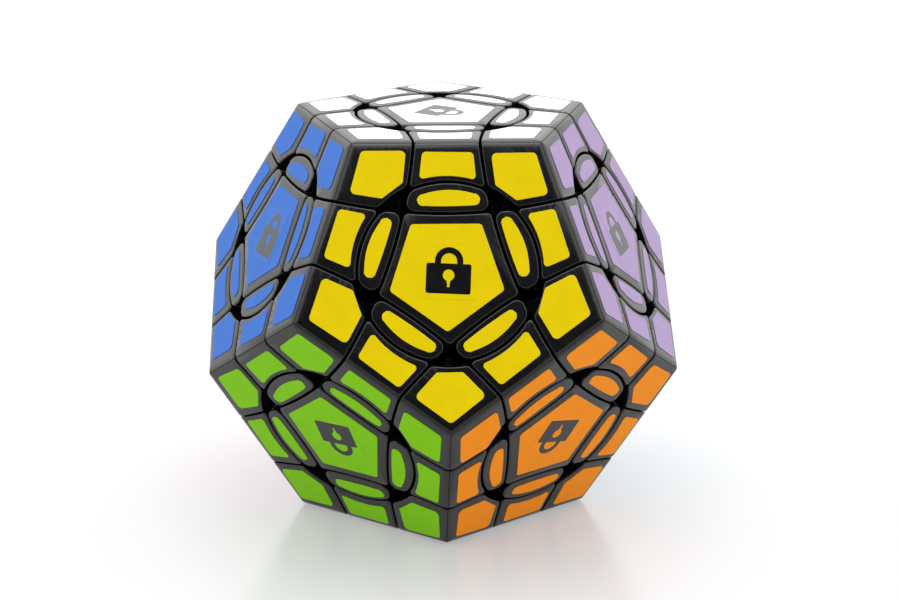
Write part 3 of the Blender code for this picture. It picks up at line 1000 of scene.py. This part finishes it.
# ---------------------------------------------------------------- padlock pictograms
def flat_shape(name, loops, low, high, material):
    """Filled flat outlines, holes included, as a thin plate."""
    curve = bpy.data.curves.new(name, "CURVE")
    curve.dimensions = "2D"
    curve.fill_mode = "BOTH"
    curve.extrude = (high - low) / 2 * 0.001
    for loop in loops:
        s = curve.splines.new("POLY")
        s.points.add(len(loop) - 1)
        for pt, (x, y) in zip(s.points, loop):
            pt.co = (x * 0.001, y * 0.001, 0, 1)
        s.use_cyclic_u = True
    ob = bpy.data.objects.new(name, curve)
    bpy.context.scene.collection.objects.link(ob)
    bpy.context.view_layer.update()
    mesh = bpy.data.meshes.new_from_object(ob.evaluated_get(bpy.context.evaluated_depsgraph_get()))
    bpy.data.objects.remove(ob)
    mesh.transform(Matrix.Translation((0, 0, (low + high) / 2 * 0.001)))
    bm = bmesh.new()
    bm.from_mesh(mesh)
    bmesh.ops.remove_doubles(bm, verts=bm.verts, dist=1e-7)
    bmesh.ops.recalc_face_normals(bm, faces=bm.faces)
    bm.to_mesh(mesh)
    bm.free()
    mesh.name = name
    mesh.materials.clear()
    mesh.materials.append(material)
    return mesh


def padlock_loops():
    """A plain padlock: +y is up. Body, keyhole and shackle."""
    body = softened([(-4.2, -4.2), (4.2, -4.2), (4.2, 1.5), (-4.2, 1.5)], [0.45, 0.45, 0.35, 0.35])
    hole = arc(0, -0.7, 1.08, math.radians(-68), math.radians(248), 22)
    hole = hole + [(-0.26, -2.2), (-0.2, -2.95), (0.2, -2.95), (0.26, -2.2)]
    shackle = (
        [(2.65, 1.35)]
        + arc(0, 1.95, 2.65, 0, math.pi, 22)
        + [(-2.65, 1.35), (-1.5, 1.35)]
        + arc(0, 1.95, 1.5, math.pi, 0, 18)
        + [(1.5, 1.35)]
    )
    # the shackle's feet sit in the body, so both are one outline
    left = [(-2.65, 1.5), (-1.5, 1.5)]
    outline = (
        softened([(-4.2, 1.5), (-4.2, -4.2), (4.2, -4.2), (4.2, 1.5)], [0.35, 0.45, 0.45, 0.35])
        + [(2.65, 1.5)]
        + arc(0, 1.95, 2.65, 0, math.pi, 26)
        + [(-2.65, 1.5)]
    )
    bow = [(1.5, 1.5)] + arc(0, 1.95, 1.5, 0, math.pi, 20) + [(-1.5, 1.5)]
    return [outline, bow, hole]


LOCK = flat_shape("padlock_pictogram", padlock_loops(), R_IN + STICKER - 0.01, R_IN + STICKER + 0.05, INK)
FILM_OUTLINE = softened([(-5.3, -5.2), (5.3, -5.2), (5.3, 5.7), (-5.3, 5.7)], [0.4] * 4)
FILM_MESH = {
    c: sheet_mesh(f"film_{c}", FILM_OUTLINE, R_IN + STICKER - 0.01, R_IN + STICKER + 0.035, 0.028, FILM[c])
    for c in COLOURS
}


def up_on(face, angle):
    """Rotation on a face whose +Y is the face's up direction turned by angle, counter-clockwise as seen from outside."""
    z = AXES[face]
    up = np.array((0, 1.0, 0)) if abs(z[2]) > 0.9 else np.array((0, 0, 1.0))
    y = unit(up - z * (up @ z))
    x = np.cross(y, z)
    return np.stack((x, y, z), axis=1) @ turn_z(angle)


LOCK_TURN = {
    "white": -122, "yellow": -3, "blue": 4, "purple": -2, "light_green": 183, "orange": 165,
    "grey": 20, "red": -5, "dark_green": 6, "light_blue": 176, "cream": 184, "pink": 172,
}
for f, angle in LOCK_TURN.items():
    world = placed(up_on(f, angle))
    add_child(f"padlock_film_{f}", FILM_MESH[f], world, HUBS[f])
    add_child(f"padlock_pictogram_{f}", LOCK, world, HUBS[f])

# ---------------------------------------------------------------- core, screws, washers, springs
core = add_piece("core_ball_with_arms", MASTER["core"], np.eye(3), "core", ["core_with_arms"])


def grid_mesh(name, rows, material, closed_ends=True):
    """Skins a list of equal rings of points, in millimetres, from the bottom to the top."""
    bm = bmesh.new()
    vs = [[bm.verts.new([c * 0.001 for c in p]) for p in row] for row in rows]
    k = len(rows[0])
    for r0, r1 in zip(vs, vs[1:]):
        for i in range(k):
            f = bm.faces.new((r0[i], r0[(i + 1) % k], r1[(i + 1) % k], r1[i]))
            f.smooth = True
    if closed_ends:
        bm.faces.new(vs[0][::-1])
        bm.faces.new(vs[-1])
    bmesh.ops.recalc_face_normals(bm, faces=bm.faces)
    mesh = bpy.data.meshes.new(name)
    bm.to_mesh(mesh)
    bm.free()
    mesh.materials.append(material)
    return mesh


def screw_rows():
    rows = []
    n = 24
    for z in np.arange(15.0, 30.4, 0.12):
        row = []
        taper = min(1.0, 0.35 + (z - 15.0) * 0.8)
        for i in range(n):
            a = math.tau * i / n
            phase = (z / 0.8 - i / n) % 1.0
            ridge = 0.0 if z > 24.0 else 0.2 * (1 - abs(2 * phase - 1))
            r = (0.85 + ridge) * taper
            row.append((r * math.cos(a), r * math.sin(a), z))
        rows.append(row)
    head = [(1.1, 30.6), (2.9, 31.2), (3.15, 31.35), (3.2, 31.8), (3.0, 32.4), (2.4, 32.85), (1.8, 33.0)]
    for r, z in head:
        rows.append([(r * math.cos(math.tau * i / n), r * math.sin(math.tau * i / n), z) for i in range(n)])
    for r, z in ((1.5, 33.0), (1.35, 32.9), (0.9, 32.0), (0.35, 31.9)):
        row = []
        for i in range(n):
            a = math.tau * i / n
            cross = abs(math.sin(2 * a)) > 0.6
            row.append((r * math.cos(a), r * math.sin(a), 33.0 if cross and r > 1.0 else z))
        rows.append(row)
    return rows


def ring_mesh(name, profile, material, n=40):
    """A closed ring turned about Z from a closed profile of (radius, height)."""
    bm = bmesh.new()
    rows = []
    for i in range(n):
        a = math.tau * i / n
        rows.append([bm.verts.new((r * math.cos(a) * 0.001, r * math.sin(a) * 0.001, z * 0.001)) for r, z in profile])
    k = len(profile)
    for i in range(n):
        r0, r1 = rows[i], rows[(i + 1) % n]
        for j in range(k):
            bm.faces.new((r0[j], r1[j], r1[(j + 1) % k], r0[(j + 1) % k])).smooth = True
    bmesh.ops.recalc_face_normals(bm, faces=bm.faces)
    mesh = bpy.data.meshes.new(name)
    bm.to_mesh(mesh)
    bm.free()
    mesh.materials.append(material)
    return mesh


def spring_rows():
    rows = []
    turns, radius, wire, z0, z1 = 5.5, 2.5, 0.3, 24.9, 30.3
    steps = int(turns * 28)
    for i in range(steps + 1):
        t = i / steps
        a = math.tau * turns * t
        ease = min(1, max(0, (t * turns - 0.7) / (turns - 1.4)))
        z = z0 + (z1 - z0) * ease + 0.3 * (min(t * turns, 0.7) / 0.7 - 0.5) * 0
        c = Vector((radius * math.cos(a), radius * math.sin(a), z))
        side = Vector((math.cos(a), math.sin(a), 0))
        rows.append(
            [
                tuple(c + (side * math.cos(b) + Vector((0, 0, 1)) * math.sin(b)) * wire)
                for b in [math.tau * j / 10 for j in range(10)]
            ]
        )
    return rows


SCREW = grid_mesh("screw", screw_rows(), STEEL)
WASHER = ring_mesh("washer", [(1.3, 30.62), (3.0, 30.62), (3.1, 30.72), (3.1, 30.95), (3.0, 31.05), (1.3, 31.05)], STEEL)
SPRING = grid_mesh("spring", spring_rows(), STEEL)
for f in FACES:
    rot = frame_of(f, neighbours(f)[0])
    body = f"{f}_circle" if f in TURNING else "core"
    add_piece(f"screw_{f}", SCREW, rot, "core")
    add_piece(f"washer_{f}", WASHER, rot, "core")
    add_piece(
        f"spring_coil_{f}", SPRING, rot, body, [f"spring_{f}"] if f in TURNING else []
    )

# ---------------------------------------------------------------- floor, light, camera
floor_mesh = bpy.data.meshes.new("floor")
size = 6.0
floor_mesh.from_pydata([(-size, -size, 0), (size, -size, 0), (size, size, 0), (-size, size, 0)], [], [(0, 1, 2, 3)])
floor = bpy.data.objects.new("floor", floor_mesh)
floor.location = (0, 0, -0.0002)
bpy.context.scene.collection.objects.link(floor)
fm, fnt, fb = new_material("pale_table")
fcoord = fnt.nodes.new("ShaderNodeTexCoord").outputs["Object"]
fcloud = noise(fnt, fcoord, 9.0, 2.0)
fnt.links.new(ramp(fnt, fcloud, [(0.3, (0.31, 0.31, 0.31)), (0.7, (0.32, 0.32, 0.32))]), fb.inputs["Base Color"])
fnt.links.new(ranged(fnt, fcloud, 0.20, 0.24), fb.inputs["Roughness"])
fb.inputs["IOR"].default_value = 1.45
fb.inputs["Specular IOR Level"].default_value = 0.4
fb.inputs["Emission Color"].default_value = (1, 1, 1, 1)
fb.inputs["Emission Strength"].default_value = 0.36
floor_mesh.materials.append(fm)


def area(name, location, target, size_x, size_y, power, colour=(1, 1, 1)):
    data = bpy.data.lights.new(name, "AREA")
    data.shape = "RECTANGLE"
    data.size, data.size_y = size_x, size_y
    data.energy = power
    data.color = colour
    ob = bpy.data.objects.new(name, data)
    bpy.context.scene.collection.objects.link(ob)
    ob.location = location
    ob.rotation_mode = "QUATERNION"
    ob.rotation_quaternion = (Vector(target) - Vector(location)).to_track_quat("-Z", "Y")
    ob.visible_camera = False
    return ob


area("top_softbox", (0.0, 0.1, 1.1), (0, 0.05, 0), 0.75, 0.55, 2.3)

world = bpy.data.worlds.new("studio")
bpy.context.scene.world = world
world.use_nodes = True
wn = world.node_tree
wn.nodes.clear()


def world_node(kind, **values):
    n = wn.nodes.new(kind)
    for key, value in values.items():
        n.inputs[key].default_value = value
    return n


# a white tent that is open, and so dark, on the side where one stands
w_out = world_node("ShaderNodeOutputWorld")
w_mix = world_node("ShaderNodeMixShader")
w_tent = world_node("ShaderNodeBackground")
w_wall = world_node("ShaderNodeBackground", Color=(1, 1, 1, 1), Strength=1.0)
w_path = world_node("ShaderNodeLightPath")
w_coord = world_node("ShaderNodeTexCoord")
w_split = world_node("ShaderNodeSeparateXYZ")
wn.links.new(w_coord.outputs["Generated"], w_split.inputs["Vector"])


def w_math(operation, a, b=None):
    n = wn.nodes.new("ShaderNodeMath")
    n.operation = operation
    for i, x in enumerate((a, b)):
        if x is None:
            continue
        if isinstance(x, (int, float)):
            n.inputs[i].default_value = x
        else:
            wn.links.new(x, n.inputs[i])
    return n.outputs[0]


def w_range(value, from_min, from_max, to_min, to_max):
    n = wn.nodes.new("ShaderNodeMapRange")
    n.interpolation_type = "SMOOTHSTEP"
    for key, x in (("From Min", from_min), ("From Max", from_max), ("To Min", to_min), ("To Max", to_max)):
        n.inputs[key].default_value = x
    wn.links.new(value, n.inputs["Value"])
    return n.outputs["Result"]


wx, wy, wz = w_split.outputs
OPEN, SIDE, ROOF = 0.06, 1.0, 0.6
LOW_WALL, HIGH_WALL = 1.25, 2.15
toward = w_math("ADD", w_math("MULTIPLY", wy, -0.94), w_math("MULTIPLY", wz, 0.34))
height = w_range(wz, -0.1, 0.4, LOW_WALL, HIGH_WALL)
walls = w_math("MULTIPLY", height, w_range(toward, 0.65, 0.91, SIDE, OPEN / HIGH_WALL))
roof = w_range(wz, 0.60, 0.80, 0.0, ROOF)
wn.links.new(w_math("ADD", walls, roof), w_tent.inputs["Strength"])
wn.links.new(w_path.outputs["Is Camera Ray"], w_mix.inputs["Fac"])
wn.links.new(w_tent.outputs["Background"], w_mix.inputs[1])
wn.links.new(w_wall.outputs["Background"], w_mix.inputs[2])
wn.links.new(w_mix.outputs["Shader"], w_out.inputs["Surface"])

scene = bpy.context.scene
scene.view_settings.view_transform = "Standard"
scene.view_settings.look = "None"

PITCH, ROLL, YAW = math.radians(18.093), math.radians(0.188), math.radians(2.352)
SHIFT = np.array((-1.731, 432.93, -0.623))
FOCAL = 2111.3
cy, sy = math.cos(YAW), math.sin(YAW)
cx, sx = math.cos(PITCH), math.sin(PITCH)
cr, sr = math.cos(ROLL), math.sin(ROLL)
turn = (
    np.array(((cr, 0, sr), (0, 1, 0), (-sr, 0, cr)))
    @ np.array(((1, 0, 0), (0, cx, -sx), (0, sx, cx)))
    @ np.array(((cy, -sy, 0), (sy, cy, 0), (0, 0, 1)))
)
eye = -turn.T @ SHIFT + np.array((0, 0, R_IN))
cam_data = bpy.data.cameras.new("camera")
cam_data.sensor_width = 36.0
cam_data.lens = FOCAL / 900 * 36.0
cam_data.clip_start, cam_data.clip_end = 0.01, 50
camera = bpy.data.objects.new("camera", cam_data)
scene.collection.objects.link(camera)
right, forward, up = turn.T @ (1, 0, 0), turn.T @ (0, 1, 0), turn.T @ (0, 0, 1)
m = Matrix(np.stack((right, up, -forward), axis=1).tolist()).to_4x4()
m.translation = Vector((eye * 0.001).tolist())
camera.matrix_world = m
scene.camera = camera
